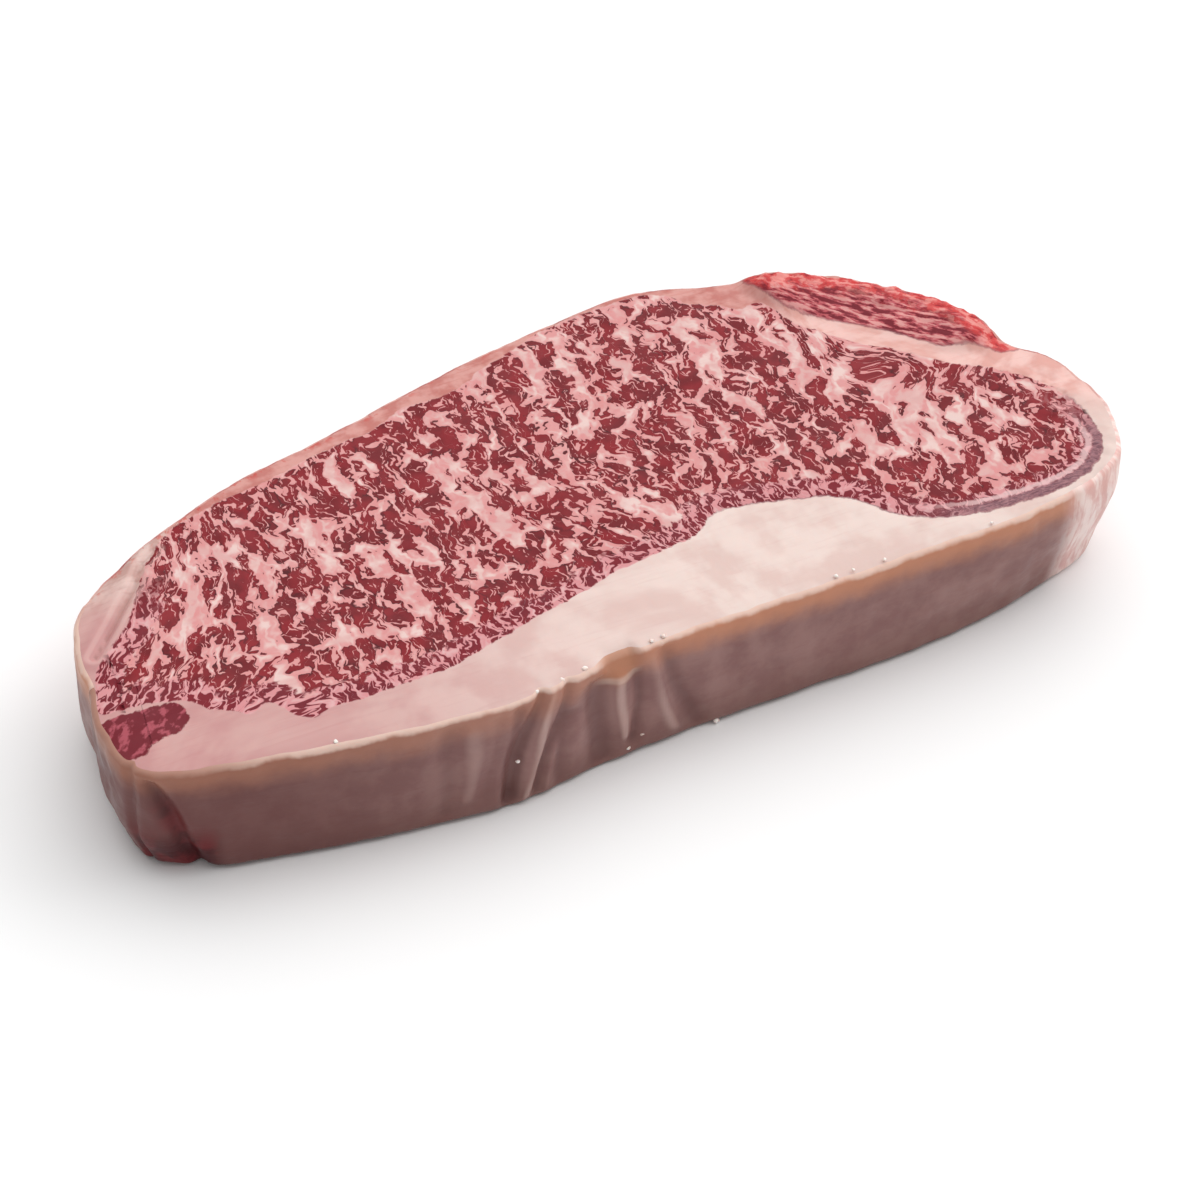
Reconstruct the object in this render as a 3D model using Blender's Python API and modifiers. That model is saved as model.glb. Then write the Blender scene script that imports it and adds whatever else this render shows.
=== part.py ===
"""Raw sirloin steak: one slab cut across the loin, with a cap of fat along its front edge."""

import bisect
import math

import bmesh
import bpy

MM = 0.001

# Overall sizes, millimetres. X runs along the slab, Y from the fat cap to the back, Z up.
THICKNESS = 32.0
ARRIS_RADIUS = 1.8
FOOT_RADIUS = 2.6
WALL_BULGE = 0.5
STRIP_RISE = 4.6
STRIP_REACH = 7.5
END_UNDERCUT = 4.8
UNDERCUT_START = 55.0
UNDERCUT_END = 112.0

# How finely the cage is laid out before it is smoothed.
STATIONS = 40
RUNGS = 8
SMOOTHING = 1

# The edge of the slab seen from above, round the front from the tail to the point.
FRONT_EDGE = (
    (-124.0, -16.0),
    (-124.5, -30.0),
    (-122.0, -42.5),
    (-112.0, -48.5),
    (-92.0, -52.5),
    (-68.0, -56.5),
    (-40.0, -59.0),
    (-20.0, -56.0),
    (0.0, -54.0),
    (24.0, -53.0),
    (54.0, -52.0),
    (84.0, -51.0),
    (105.0, -47.5),
    (119.0, -40.6),
    (126.0, -24.5),
)

# The same edge round the back, from the point to the tail.
BACK_EDGE = (
    (125.0, -10.0),
    (120.5, -0.5),
    (114.2, 6.5),
    (111.0, 16.5),
    (101.5, 30.5),
    (87.0, 42.5),
    (71.0, 51.3),
    (56.5, 55.6),
    (40.0, 60.0),
    (20.0, 57.6),
    (-10.5, 51.4),
    (-42.5, 42.0),
    (-72.8, 34.0),
    (-97.5, 22.8),
    (-115.5, 11.6),
    (-123.2, -1.8),
)

# The small separate muscle at the back right stands up along this line.
STRIP_LINE = ((70.5, 47.0), (81.5, 41.0), (93.0, 32.0), (102.0, 21.5), (106.5, 12.5))

# Folds pressed into the skin of the cap: place at the top, place at the foot, width, depth.
FOLDS = (
    (-40.0, -42.0, 3.2, 1.2),
    (-34.0, -43.0, 3.0, 1.3),
    (-27.0, -35.0, 3.0, 1.2),
    (-18.5, -19.5, 4.0, 1.4),
    (-2.5, 5.5, 4.0, 1.0),
)

# The cap's edge is pinched down where the skin was nicked.
NICK_PLACE = -13.0
NICK_WIDTH = 5.0
NICK_DEPTH = 1.2

# The middle of the finished slab, moved to the origin.
MIDDLE_X = -0.07
MIDDLE_Y = -0.23

COLLECTION = "raw sirloin steak"
NODE = "steak"


def clear_scene():
    """Start from an empty scene."""
    for thing in list(bpy.data.objects):
        bpy.data.objects.remove(thing, do_unlink=True)


def smooth_step(value):
    """Ease from 0 to 1."""
    value = min(1.0, max(0.0, value))
    return value * value * (3.0 - 2.0 * value)


def curve_point(before, start, end, after, t):
    """A point of the smooth curve that passes through start and end."""
    result = []
    for a, b, c, d in zip(before, start, end, after):
        line = 2.0 * b + (c - a) * t
        bend = (2.0 * a - 5.0 * b + 4.0 * c - d) * t * t
        twist = (3.0 * b - a - 3.0 * c + d) * t * t * t
        result.append(0.5 * (line + bend + twist))
    return tuple(result)


def smooth_edge(points, first, last, steps=24):
    """The closed curve through the points, from the first index to the last."""
    count = len(points)
    curve = []
    for index in range(first, last):
        four = [points[(index + shift) % count] for shift in (-1, 0, 1, 2)]
        for step in range(steps):
            curve.append(curve_point(*four, step / steps))
    curve.append(points[last % count])
    return curve


def spread_evenly(curve, count):
    """The given number of equal steps along a curve, both ends kept."""
    reach = [0.0]
    for here, there in zip(curve, curve[1:]):
        reach.append(reach[-1] + math.dist(here, there))
    result = []
    for step in range(count + 1):
        goal = reach[-1] * step / count
        place = min(max(bisect.bisect_right(reach, goal), 1), len(curve) - 1)
        gap = reach[place] - reach[place - 1]
        share = (goal - reach[place - 1]) / gap
        here, there = curve[place - 1], curve[place]
        result.append(tuple(a + (b - a) * share for a, b in zip(here, there)))
    return result


def slab_edge():
    """Stations round the slab: tail to point along the front, then back to the tail."""
    points = FRONT_EDGE + BACK_EDGE
    turn = len(FRONT_EDGE) - 1
    front = spread_evenly(smooth_edge(points, 0, turn), STATIONS)
    back = spread_evenly(smooth_edge(points, turn, len(points)), STATIONS)
    return front[:-1] + back[:-1]


def outward(edge):
    """The level outward direction at each station."""
    result = []
    for index in range(len(edge)):
        before = edge[index - 1]
        after = edge[(index + 1) % len(edge)]
        run, rise = after[0] - before[0], after[1] - before[1]
        size = math.hypot(run, rise)
        result.append((rise / size, -run / size))
    return result


def distance_to_line(x, y, line):
    """The distance from a point to a line of joined pieces."""
    best = 1e9
    for (ax, ay), (bx, by) in zip(line, line[1:]):
        run, rise = bx - ax, by - ay
        share = ((x - ax) * run + (y - ay) * rise) / (run * run + rise * rise)
        share = min(1.0, max(0.0, share))
        best = min(best, math.hypot(x - ax - share * run, y - ay - share * rise))
    return best


def top_height(x, y):
    """Height of the cut face: nearly flat, higher along the strip of separate muscle."""
    strip = STRIP_RISE * math.exp(-((distance_to_line(x, y, STRIP_LINE) / STRIP_REACH) ** 2))
    sway = 0.25 * math.sin(x / 31.0) * math.cos(y / 17.0)
    return THICKNESS + strip + sway


def nick(x, y):
    """How far the cap's front edge is pinched down."""
    if y > 0.0:
        return 0.0
    return NICK_DEPTH * math.exp(-(((x - NICK_PLACE) / NICK_WIDTH) ** 2))


def fold_depth(x, y, z):
    """How far the front skin is pressed in by its folds."""
    if y > 0.0:
        return 0.0
    rise = z / THICKNESS
    fade = smooth_step(z / 5.0)
    depth = 0.0
    for top, foot, width, deep in FOLDS:
        middle = foot + (top - foot) * rise
        depth += deep * math.exp(-(((x - middle) / width) ** 2))
    return depth * fade


def undercut(x, z):
    """How far the point of the slab leans in toward its foot."""
    place = smooth_step((x - UNDERCUT_START) / (UNDERCUT_END - UNDERCUT_START))
    return END_UNDERCUT * place * (1.0 - smooth_step(z / (0.8 * THICKNESS)))


def wall_profile():
    """Rings up the side: how far each stands in from the edge, and its share of the height."""
    foot = FOOT_RADIUS
    arris = ARRIS_RADIUS
    return (
        (foot * 1.9, 0.0),
        (foot * 0.9, 0.0),
        (foot * 0.12, foot * 0.8),
        (-WALL_BULGE, THICKNESS * 0.30),
        (-WALL_BULGE, THICKNESS * 0.62),
        (-0.1, THICKNESS - arris * 1.9),
        (arris * 0.25, THICKNESS - arris * 0.35),
        (arris * 1.3, THICKNESS),
        (arris * 3.2, THICKNESS),
    )


def wall_ring(edge, normals, inset, z, shaped_top):
    """One ring of the side, folded, undercut and fitted to the cut face."""
    ring = []
    for (x, y), (side_x, side_y) in zip(edge, normals):
        pushed = inset + undercut(x, z) + fold_depth(x, y, z)
        px, py = x - side_x * pushed, y - side_y * pushed
        height = z
        if shaped_top:
            height += top_height(px, py) - THICKNESS
            height -= nick(x, y) * (1.0 if inset < ARRIS_RADIUS else 0.35)
        ring.append((px, py, height))
    return ring


def add_ring(mesh, ring):
    """Ring of points, in metres."""
    return [mesh.verts.new((x * MM, y * MM, z * MM)) for x, y, z in ring]


def join_rings(mesh, lower, upper):
    """Band of four-sided faces between two rings, facing outward."""
    count = len(lower)
    for index in range(count):
        after = (index + 1) % count
        mesh.faces.new((lower[index], lower[after], upper[after], upper[index]))


def fill_face(mesh, ring, height, upward):
    """Close a ring with rungs from its front side to its back side."""
    columns = []
    for station in range(1, STATIONS):
        front, back = ring[station], ring[-station]
        column = [front]
        for rung in range(1, RUNGS):
            x, y, _ = front.co.lerp(back.co, rung / RUNGS) / MM
            column.append(mesh.verts.new((x * MM, y * MM, height(x, y) * MM)))
        column.append(back)
        columns.append(column)

    def face(*corners):
        """A face with the side that is wanted outward."""
        mesh.faces.new(corners if upward else corners[::-1])

    for left, right in zip(columns, columns[1:]):
        for rung in range(RUNGS):
            face(left[rung], right[rung], right[rung + 1], left[rung + 1])
    for rung in range(RUNGS):
        face(ring[0], columns[0][rung], columns[0][rung + 1])
        face(columns[-1][rung], ring[STATIONS], columns[-1][rung + 1])


def build_slab():
    """The whole steak as one closed body."""
    mesh = bmesh.new()
    edge = slab_edge()
    normals = outward(edge)
    rings = []
    for inset, z in wall_profile():
        shaped_top = z > THICKNESS * 0.7
        rings.append(add_ring(mesh, wall_ring(edge, normals, inset, z, shaped_top)))
    for lower, upper in zip(rings, rings[1:]):
        join_rings(mesh, lower, upper)
    fill_face(mesh, rings[-1], top_height, upward=True)
    fill_face(mesh, rings[0], lambda x, y: 0.0, upward=False)
    bmesh.ops.translate(mesh, verts=mesh.verts, vec=(-MIDDLE_X * MM, -MIDDLE_Y * MM, 0.0))
    for face in mesh.faces:
        face.smooth = True
    data = bpy.data.meshes.new(NODE)
    mesh.to_mesh(data)
    mesh.free()
    return data


def meat_material():
    """One plain colour: the cut face, evened out over lean and fat."""
    material = bpy.data.materials.new("meat")
    material.use_nodes = True
    shader = material.node_tree.nodes["Principled BSDF"]
    shader.inputs["Base Color"].default_value = (0.52, 0.21, 0.19, 1.0)
    shader.inputs["Roughness"].default_value = 0.42
    shader.inputs["Metallic"].default_value = 0.0
    return material


def main():
    """Build the steak, smooth it and put it in its collection."""
    clear_scene()
    group = bpy.data.collections.new(COLLECTION)
    bpy.context.scene.collection.children.link(group)
    steak = bpy.data.objects.new(NODE, build_slab())
    group.objects.link(steak)
    steak.data.materials.append(meat_material())
    smooth = steak.modifiers.new("smooth", "SUBSURF")
    smooth.levels = SMOOTHING
    smooth.render_levels = SMOOTHING


main()
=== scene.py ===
"""Raw sirloin steak on a white sweep: a thick, heavily marbled slab with its fat cap in front."""

import math

import bmesh
import bpy
import numpy as np
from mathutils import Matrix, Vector, noise


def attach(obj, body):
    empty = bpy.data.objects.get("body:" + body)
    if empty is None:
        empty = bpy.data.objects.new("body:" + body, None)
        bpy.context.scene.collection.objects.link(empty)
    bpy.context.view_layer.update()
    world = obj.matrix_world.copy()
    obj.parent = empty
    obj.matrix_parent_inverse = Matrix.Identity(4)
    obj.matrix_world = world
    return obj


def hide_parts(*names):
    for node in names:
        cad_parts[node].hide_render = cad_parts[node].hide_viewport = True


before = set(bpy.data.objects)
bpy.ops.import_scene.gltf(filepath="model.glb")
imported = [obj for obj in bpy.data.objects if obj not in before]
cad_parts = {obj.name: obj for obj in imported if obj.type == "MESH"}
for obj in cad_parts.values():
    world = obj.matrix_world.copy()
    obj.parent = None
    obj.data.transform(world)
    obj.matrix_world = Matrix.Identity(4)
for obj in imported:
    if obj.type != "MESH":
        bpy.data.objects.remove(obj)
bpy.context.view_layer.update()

MM = 0.001

# ---------------------------------------------------------------- the slab's own sizes, millimetres

THICKNESS = 32.0
ARRIS_RADIUS = 1.3
FOOT_RADIUS = 2.4
WALL_BULGE = 0.25
STRIP_RISE = 3.0
STRIP_REACH = 7.5
END_UNDERCUT = 4.8
UNDERCUT_START = 55.0
UNDERCUT_END = 112.0
MIDDLE_X = -0.07
MIDDLE_Y = -0.23

# How finely the pieces are laid out.
STATIONS = 400
TOP_RUNGS = 130
UNDER_RUNGS = 60
WALL_RINGS = 44

# The edge of the slab seen from above, round the front from the tail to the point.
FRONT_EDGE = (
    (-122.8, -16.0), (-124.5, -30.0), (-122.0, -42.5), (-112.0, -48.5), (-92.0, -52.5),
    (-68.0, -56.5), (-40.0, -58.7), (-20.0, -56.0), (0.0, -54.0), (24.0, -53.0), (54.0, -52.0),
    (84.0, -51.0), (105.0, -47.5), (119.0, -40.6), (125.5, -24.5),
)

# The same edge round the back, from the point to the tail.
BACK_EDGE = (
    (124.5, -10.0), (120.5, -0.5), (114.2, 6.5), (111.0, 16.5), (101.5, 30.5), (87.0, 42.5),
    (71.0, 51.3), (56.5, 55.6), (40.0, 60.0), (20.0, 57.6), (-10.5, 51.4), (-42.5, 42.0),
    (-72.8, 34.0), (-97.5, 22.8), (-114.8, 10.6), (-121.6, -2.6),
)

# Ridge of the small separate muscle.
STRIP_LINE = ((70.5, 46.5), (81.5, 40.5), (93.0, 31.5), (102.0, 21.0), (106.5, 12.0))

# Outer rim of the small separate muscle.
STRIP_RIM = ((71.5, 49.2), (79.5, 45.2), (88.0, 39.8), (97.0, 31.2), (104.8, 21.8), (109.0, 14.0))

# Edge of the small separate muscle, closed outside the slab.
STRIP_EDGE = (
    (66.0, 50.0), (69.5, 42.0), (72.5, 36.0), (78.0, 30.0), (84.0, 25.0), (90.0, 19.5),
    (95.0, 14.0), (99.0, 9.5), (106.0, 6.5), (112.0, 2.0), (122.0, 6.0), (116.0, 24.0),
    (102.0, 40.0), (84.0, 54.0), (68.0, 60.0),
)

# Edge of the main lean on the cut face, round the front and then the back.
LEAN_EDGE = (
    (-104.0, -28.5), (-101.0, -32.5), (-97.0, -35.0), (-93.0, -38.0), (-89.0, -36.0),
    (-86.5, -37.5), (-85.0, -41.0), (-81.0, -44.5), (-76.0, -43.0), (-68.0, -43.5),
    (-60.0, -42.8), (-50.0, -42.5), (-42.0, -40.5), (-35.0, -38.5), (-27.0, -36.0),
    (-20.0, -34.2), (-12.0, -32.0), (-5.0, -29.8), (3.0, -28.3), (12.0, -26.8), (19.0, -25.0),
    (23.0, -21.2), (27.0, -20.3), (35.0, -21.5), (44.0, -23.8), (52.0, -26.5), (57.0, -30.5),
    (61.0, -36.0), (66.0, -40.0), (73.0, -43.0), (81.0, -44.8), (90.0, -45.4), (100.0, -45.0),
    (108.0, -43.0), (113.0, -40.0), (117.0, -35.0), (118.5, -28.0), (118.0, -20.0),
    (115.5, -12.0), (110.0, -5.0), (104.0, 0.0), (98.0, 4.0), (93.0, 9.0), (88.0, 14.0),
    (83.0, 18.0), (79.0, 22.0), (75.0, 27.0), (71.0, 32.0), (69.0, 38.0), (66.0, 43.0),
    (61.0, 42.5), (57.0, 46.0), (51.0, 49.0), (47.0, 54.5), (41.0, 57.5), (30.0, 57.0),
    (20.0, 56.0), (12.0, 54.0), (6.0, 51.0), (0.0, 48.5), (-6.0, 46.5), (-10.0, 43.5),
    (-18.0, 41.5), (-26.0, 41.5), (-32.0, 39.0), (-38.0, 36.5), (-45.0, 35.5), (-53.0, 34.0),
    (-61.0, 31.5), (-68.0, 30.0), (-75.0, 29.0), (-82.0, 27.0), (-88.0, 25.5), (-94.0, 20.5),
    (-98.0, 16.0), (-102.0, 10.0), (-105.0, 4.0), (-109.0, -2.0), (-114.0, -7.0),
    (-119.0, -12.0), (-121.5, -20.0), (-122.0, -25.0), (-113.0, -25.8),
)

# Edge of the little dark muscle in the tail's front corner.
CORNER_EDGE = (
    (-123.5, -27.0), (-116.0, -27.0), (-110.0, -27.2), (-106.5, -28.0), (-105.0, -31.0),
    (-105.5, -34.5), (-109.0, -36.8), (-114.0, -37.2), (-117.0, -39.8), (-121.0, -39.8),
    (-123.8, -37.0), (-124.3, -31.0),
)

# Crease across the pale tail.
TAIL_CREASE = ((-95.0, 19.0), (-99.0, 16.0), (-103.0, 9.5), (-107.0, 5.0), (-111.0, 0.0), (-118.0, -8.0))

# Broad bands of fat between the islands of lean: from, to, half width.
FAT_BANDS = (
    (-88.0, 12.0, -81.0, 12.5, 3.4),
    (-92.0, 9.0, -93.0, -5.0, 2.1),
    (-94.0, -7.0, -100.0, -9.0, 1.9),
    (-80.0, -14.0, -82.5, -33.0, 2.3),
    (-75.5, 8.0, -75.0, -5.0, 1.5),
    (-61.5, 18.0, -61.0, -3.0, 1.7),
    (-64.0, -19.0, -66.0, -24.0, 2.4),
    (-49.5, 31.0, -48.5, 20.0, 1.9),
    (-52.5, 1.0, -50.0, -8.0, 2.0),
    (-46.0, -5.0, -39.0, -6.5, 2.2),
    (-46.5, -10.0, -47.0, -24.0, 1.6),
    (-58.0, -27.0, -52.0, -29.0, 1.8),
    (-25.5, 20.0, -24.5, 6.0, 2.6),
    (-22.0, 4.0, -20.0, -10.0, 2.6),
    (-7.5, 45.0, -7.5, 37.0, 2.1),
    (-9.0, 2.0, -3.0, 4.5, 1.5),
    (7.5, 46.0, 6.0, 33.0, 1.6),
    (15.5, 56.0, 14.5, 36.0, 2.1),
    (15.0, 35.0, 14.5, 24.0, 1.1),
    (11.5, 22.0, 9.0, 16.0, 2.0),
    (4.0, -1.0, 8.0, -12.0, 1.2),
    (12.0, -10.0, 16.0, -22.0, 2.6),
    (25.5, 37.0, 24.5, 30.0, 1.6),
    (33.0, 57.0, 34.0, 44.0, 1.7),
    (46.5, 43.0, 45.5, 24.0, 3.1),
    (49.0, 11.0, 48.0, -8.0, 1.4),
    (62.0, 44.0, 63.5, 30.0, 1.7),
    (66.0, 28.0, 64.5, 12.0, 2.1),
    (70.0, 13.0, 69.5, 7.0, 2.3),
    (73.0, 26.0, 71.5, 12.0, 1.5),
    (79.0, 3.0, 78.0, -4.0, 3.0),
    (82.5, -7.0, 80.5, -14.5, 6.2),
    (74.0, -19.0, 85.0, -20.5, 2.1),
    (88.0, -8.0, 90.0, -15.0, 1.7),
    (92.0, -24.0, 91.0, -36.0, 1.6),
    (68.0, -5.0, 68.0, -17.0, 1.7),
    (26.0, -16.0, 33.0, -17.5, 2.1),
    (43.0, -21.5, 50.0, -18.0, 1.5),
    (103.0, -22.0, 97.0, -10.0, 1.2),
)

# Places where the lean lies close: middle, half sizes, how much.
DENSE_LEAN = (
    (-21.0, 35.0, 12.0, 5.0, 0.9),
    (-35.0, 31.0, 8.0, 4.5, 0.8),
    (-5.0, 33.0, 4.5, 3.5, 1.0),
    (0.5, 43.0, 5.0, 6.0, 0.9),
    (11.0, 34.0, 3.4, 5.5, 1.0),
    (35.0, 21.0, 5.5, 10.0, 0.9),
    (2.0, -14.0, 5.0, 8.0, 0.9),
    (6.0, 3.0, 3.5, 8.0, 0.8),
    (43.0, 3.0, 3.0, 11.0, 0.8),
    (55.0, 14.0, 4.0, 5.0, 0.9),
    (62.0, 0.0, 4.0, 8.0, 0.8),
    (73.5, -10.5, 3.0, 5.5, 1.1),
    (86.0, -33.0, 6.5, 5.0, 0.9),
    (101.0, -30.0, 7.0, 5.0, 0.8),
    (-97.0, 8.0, 5.0, 8.0, 1.0),
    (-84.0, -2.0, 3.8, 7.0, 0.9),
    (-97.0, -27.0, 8.0, 5.0, 0.7),
    (-60.0, 24.0, 2.6, 6.0, 0.9),
    (-53.0, 17.0, 3.2, 7.0, 0.9),
    (-26.0, 0.0, 3.2, 6.0, 1.0),
    (-43.0, -16.0, 2.0, 8.0, 1.1),
    (-39.0, 12.0, 6.0, 10.0, 0.6),
    (-75.0, -25.0, 3.5, 7.0, 0.8),
    (58.0, -17.0, 7.0, 5.0, 0.7),
    (24.0, 5.0, 4.0, 14.0, 0.6),
    (-82.0, 20.0, 3.0, 5.0, 0.8),
    (-75.0, 26.0, 5.0, 3.0, 0.8),
)

# Folds of the skin: place along the edge at top and foot, width, depth, lowest and highest.
FOLDS = (
    (25.5, 27.5, 1.3, 1.0, -1.0, 40.0),
    (30.0, 41.5, 2.0, 2.2, -1.0, 30.0),
    (97.0, 94.0, 3.0, 0.9, 2.0, 31.0),
    (102.5, 99.0, 2.6, -0.5, 5.0, 29.0),
    (108.0, 104.0, 2.2, 0.6, 5.0, 31.0),
    (112.5, 109.5, 2.2, 1.5, 1.0, 31.0),
    (118.0, 108.5, 1.7, 1.8, 1.0, 33.0),
    (121.7, 112.7, 1.3, -0.8, 1.0, 33.0),
    (125.0, 116.0, 1.6, 1.5, 1.0, 33.0),
    (121.5, 118.4, 1.2, -0.6, 1.0, 15.0),
    (126.5, 121.5, 2.0, 1.0, 1.0, 24.0),
    (133.5, 132.5, 3.4, 1.8, 1.0, 29.0),
    (138.7, 138.7, 1.4, -1.0, 6.0, 27.5),
    (142.2, 142.4, 1.8, 1.3, 3.0, 28.0),
    (145.0, 153.5, 1.6, -0.7, 3.0, 31.0),
    (149.0, 158.0, 2.8, 1.3, 1.0, 31.0),
)

# Crumbs of fat: place along the front edge, height and size. Those on the cap's edge also stand for its
# small glints, their near-white colour partly a painted highlight.
CRUMBS_AND_GLINTS = (
    (72.0, 32.0, 0.55),
    (118.0, 31.8, 0.45),
    (124.0, 31.9, 0.60),
    (127.5, 31.6, 0.50),
    (130.0, 32.0, 0.70),
    (131.8, 31.4, 0.45),
    (147.0, 32.1, 0.50),
    (149.5, 32.2, 0.60),
    (193.0, 32.1, 0.45),
    (197.0, 32.2, 0.40),
    (205.0, 32.1, 0.45),
    (233.0, 32.2, 0.40),
    (112.0, 14.0, 0.50),
    (163.0, 0.9, 0.80),
    (140.0, 3.0, 0.60),
    (144.0, 5.5, 0.45),
)

# The chamfer where the cap's edge was nicked: place along the edge, half length, how far in.
NICK_PLACE = 138.6
NICK_HALF = 4.6
NICK_IN = 1.9

# ---------------------------------------------------------------- curves and distances


def smooth_step(value):
    """Ease from 0 to 1."""
    value = np.clip(value, 0.0, 1.0)
    return value * value * (3.0 - 2.0 * value)


def between(value, low, high, soft):
    """1 between two limits, fading to 0 over a soft width outside them."""
    return smooth_step((value - low) / soft + 1.0) * smooth_step((high - value) / soft + 1.0)


def closed_curve(points, steps):
    """Smooth closed curve through the points."""
    points = np.array(points)
    before = np.roll(points, 1, axis=0)
    after = np.roll(points, -1, axis=0)
    later = np.roll(points, -2, axis=0)
    t = (np.arange(steps) / steps)[None, :, None]
    a, b, c, d = (p[:, None, :] for p in (before, points, after, later))
    curve = 2.0 * b + (c - a) * t + (2.0 * a - 5.0 * b + 4.0 * c - d) * t**2
    curve = 0.5 * (curve + (3.0 * b - a - 3.0 * c + d) * t**3)
    return curve.reshape(-1, 2)


def spread_evenly(curve, count):
    """Equal steps along an open curve, both ends kept."""
    gaps = np.hypot(*np.diff(curve, axis=0).T)
    reach = np.concatenate([[0.0], np.cumsum(gaps)])
    goal = np.linspace(0.0, reach[-1], count + 1)
    return np.stack([np.interp(goal, reach, curve[:, axis]) for axis in (0, 1)], axis=1), goal


def line_distance(x, y, line):
    """Distance from each point to a line of joined pieces."""
    line = np.array(line)
    best = np.full(x.shape, 1e9)
    for (ax, ay), (bx, by) in zip(line, line[1:]):
        run, rise = bx - ax, by - ay
        share = ((x - ax) * run + (y - ay) * rise) / max(run * run + rise * rise, 1e-9)
        share = np.clip(share, 0.0, 1.0)
        best = np.minimum(best, np.hypot(x - ax - share * run, y - ay - share * rise))
    return best


def inside(x, y, ring):
    """True where a point is inside a closed ring."""
    result = np.zeros(x.shape, bool)
    for (ax, ay), (bx, by) in zip(ring, np.roll(ring, -1, axis=0)):
        if ay == by:
            continue
        crosses = (ay > y) != (by > y)
        result ^= crosses & (x < (bx - ax) * (y - ay) / (by - ay) + ax)
    return result


def signed_distance(x, y, points, steps=4):
    """Distance to a closed edge, positive inside it."""
    ring = closed_curve(points, steps)
    away = line_distance(x, y, np.vstack([ring, ring[:1]]))
    return np.where(inside(x, y, ring), away, -away)


def lumps(x, y, z, size, seed=0.0, octaves=2):
    """Soft random height between about -1 and 1, with bumps of the given size."""
    result = np.empty(x.shape)
    flat = result.reshape(-1)
    for index, (a, b, c) in enumerate(zip(x.flat, y.flat, z.flat)):
        place = Vector((a / size + seed, b / size - seed, c / size + 2.0 * seed))
        flat[index] = noise.fractal(place, 1.0, 2.0, octaves)
    return result


# ---------------------------------------------------------------- the slab's form


def slab_edge():
    """Stations round the slab, with the distance of each along the front edge."""
    points = FRONT_EDGE + BACK_EDGE
    steps = 40
    curve = closed_curve(points, steps)
    turn = (len(FRONT_EDGE) - 1) * steps
    front, reach = spread_evenly(curve[: turn + 1], STATIONS)
    back, _ = spread_evenly(np.vstack([curve[turn:], curve[:1]]), STATIONS)
    edge = np.vstack([front[:-1], back[:-1]])
    along = np.concatenate([reach[:-1], np.full(STATIONS, 1e3)])
    return edge, along


def outward(edge):
    """The level outward direction at each station."""
    run = np.roll(edge, -1, axis=0) - np.roll(edge, 1, axis=0)
    side = np.stack([run[:, 1], -run[:, 0]], axis=1)
    return side / np.hypot(side[:, 0], side[:, 1])[:, None]


EDGE, ALONG = slab_edge()
SIDE = outward(EDGE)
LEFT_WAVER = lumps(EDGE[:, 0], EDGE[:, 1], np.zeros(len(EDGE)), 9.0, 3.1, 3)


def back_share(x, y):
    """1 along the back edge and 0 along the front."""
    return smooth_step((y - (-0.12 * x - 14.0)) / 16.0)


def top_height(x, y):
    """Height of the cut face over the foot."""
    strip = signed_distance(x, y, STRIP_EDGE)
    ridge = STRIP_RISE * np.exp(-((line_distance(x, y, STRIP_LINE) / STRIP_REACH) ** 2))
    ridge = ridge * smooth_step((strip + 3.0) / 5.0)
    sway = 0.22 * np.sin(x / 31.0) * np.cos(y / 17.0)
    fold = line_distance(x, y, TAIL_CREASE)
    crease = 0.7 * np.exp(-((fold / 0.9) ** 2)) - 0.45 * np.exp(-(((fold - 2.4) / 1.4) ** 2))
    flat = np.zeros(x.shape)
    meat = lumps(x, y, flat, 14.0, 1.7, 2) * 0.18 + lumps(x, y, flat, 3.2, 5.3, 2) * 0.07
    rough = smooth_step(strip / 3.0)
    streak = lumps(0.75 * x + 0.66 * y, 0.16 * (0.66 * x - 0.75 * y), flat, 2.4, 2.2, 3)
    outer = np.exp(-((line_distance(x, y, STRIP_RIM) / 3.4) ** 2))
    meat = meat + rough * (streak * 0.5 + lumps(x, y, flat, 5.0, 8.8, 2) * 0.45)
    meat = meat + rough * outer * (0.5 + lumps(x, y, flat, 3.0, 3.9, 2) * 0.9)
    tip = smooth_step((x - 99.0) / 12.0) * (1.0 - rough)
    meat = meat + tip * lumps(x, y, flat, 5.5, 6.6, 3) * 0.55
    lean = signed_distance(x, y, LEAN_EDGE)
    groove = 0.35 * np.exp(-((lean / 0.8) ** 2)) * between(x, 22.0, 112.0, 12.0)
    groove = groove * (y < -10.0)
    return THICKNESS + ridge + sway - crease + meat - groove


def fold_depth(along, z):
    """How far the skin is pressed in at a height, at each station."""
    depth = np.zeros(along.shape)
    for top, foot, width, deep, low, high in FOLDS:
        middle = foot + (top - foot) * (z / THICKNESS) + 0.8 * math.sin(z / 5.2 + foot)
        hold = float(between(np.array(z), low + 2.0, high - 2.0, 3.0))
        depth = depth + deep * hold * np.exp(-(((along - middle) / width) ** 2))
    return depth


def nick_share():
    """1 along the nick in the cap's edge, falling away faster at its far end."""
    before = smooth_step((ALONG - NICK_PLACE + NICK_HALF + 2.5) / 5.0)
    after = smooth_step((NICK_PLACE + NICK_HALF + 1.0 - ALONG) / 2.4)
    return before * after


def undercut(x, z):
    """How far the point of the slab and the tail lean in toward the foot."""
    point = smooth_step((x - UNDERCUT_START) / (UNDERCUT_END - UNDERCUT_START))
    tail = smooth_step((-104.0 - x) / 14.0)
    lower = 1.0 - smooth_step(np.array(z / (0.8 * THICKNESS)))
    foot = 1.0 - smooth_step(np.array(z / (0.38 * THICKNESS)))
    return END_UNDERCUT * point * lower + 2.6 * tail * foot


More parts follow.
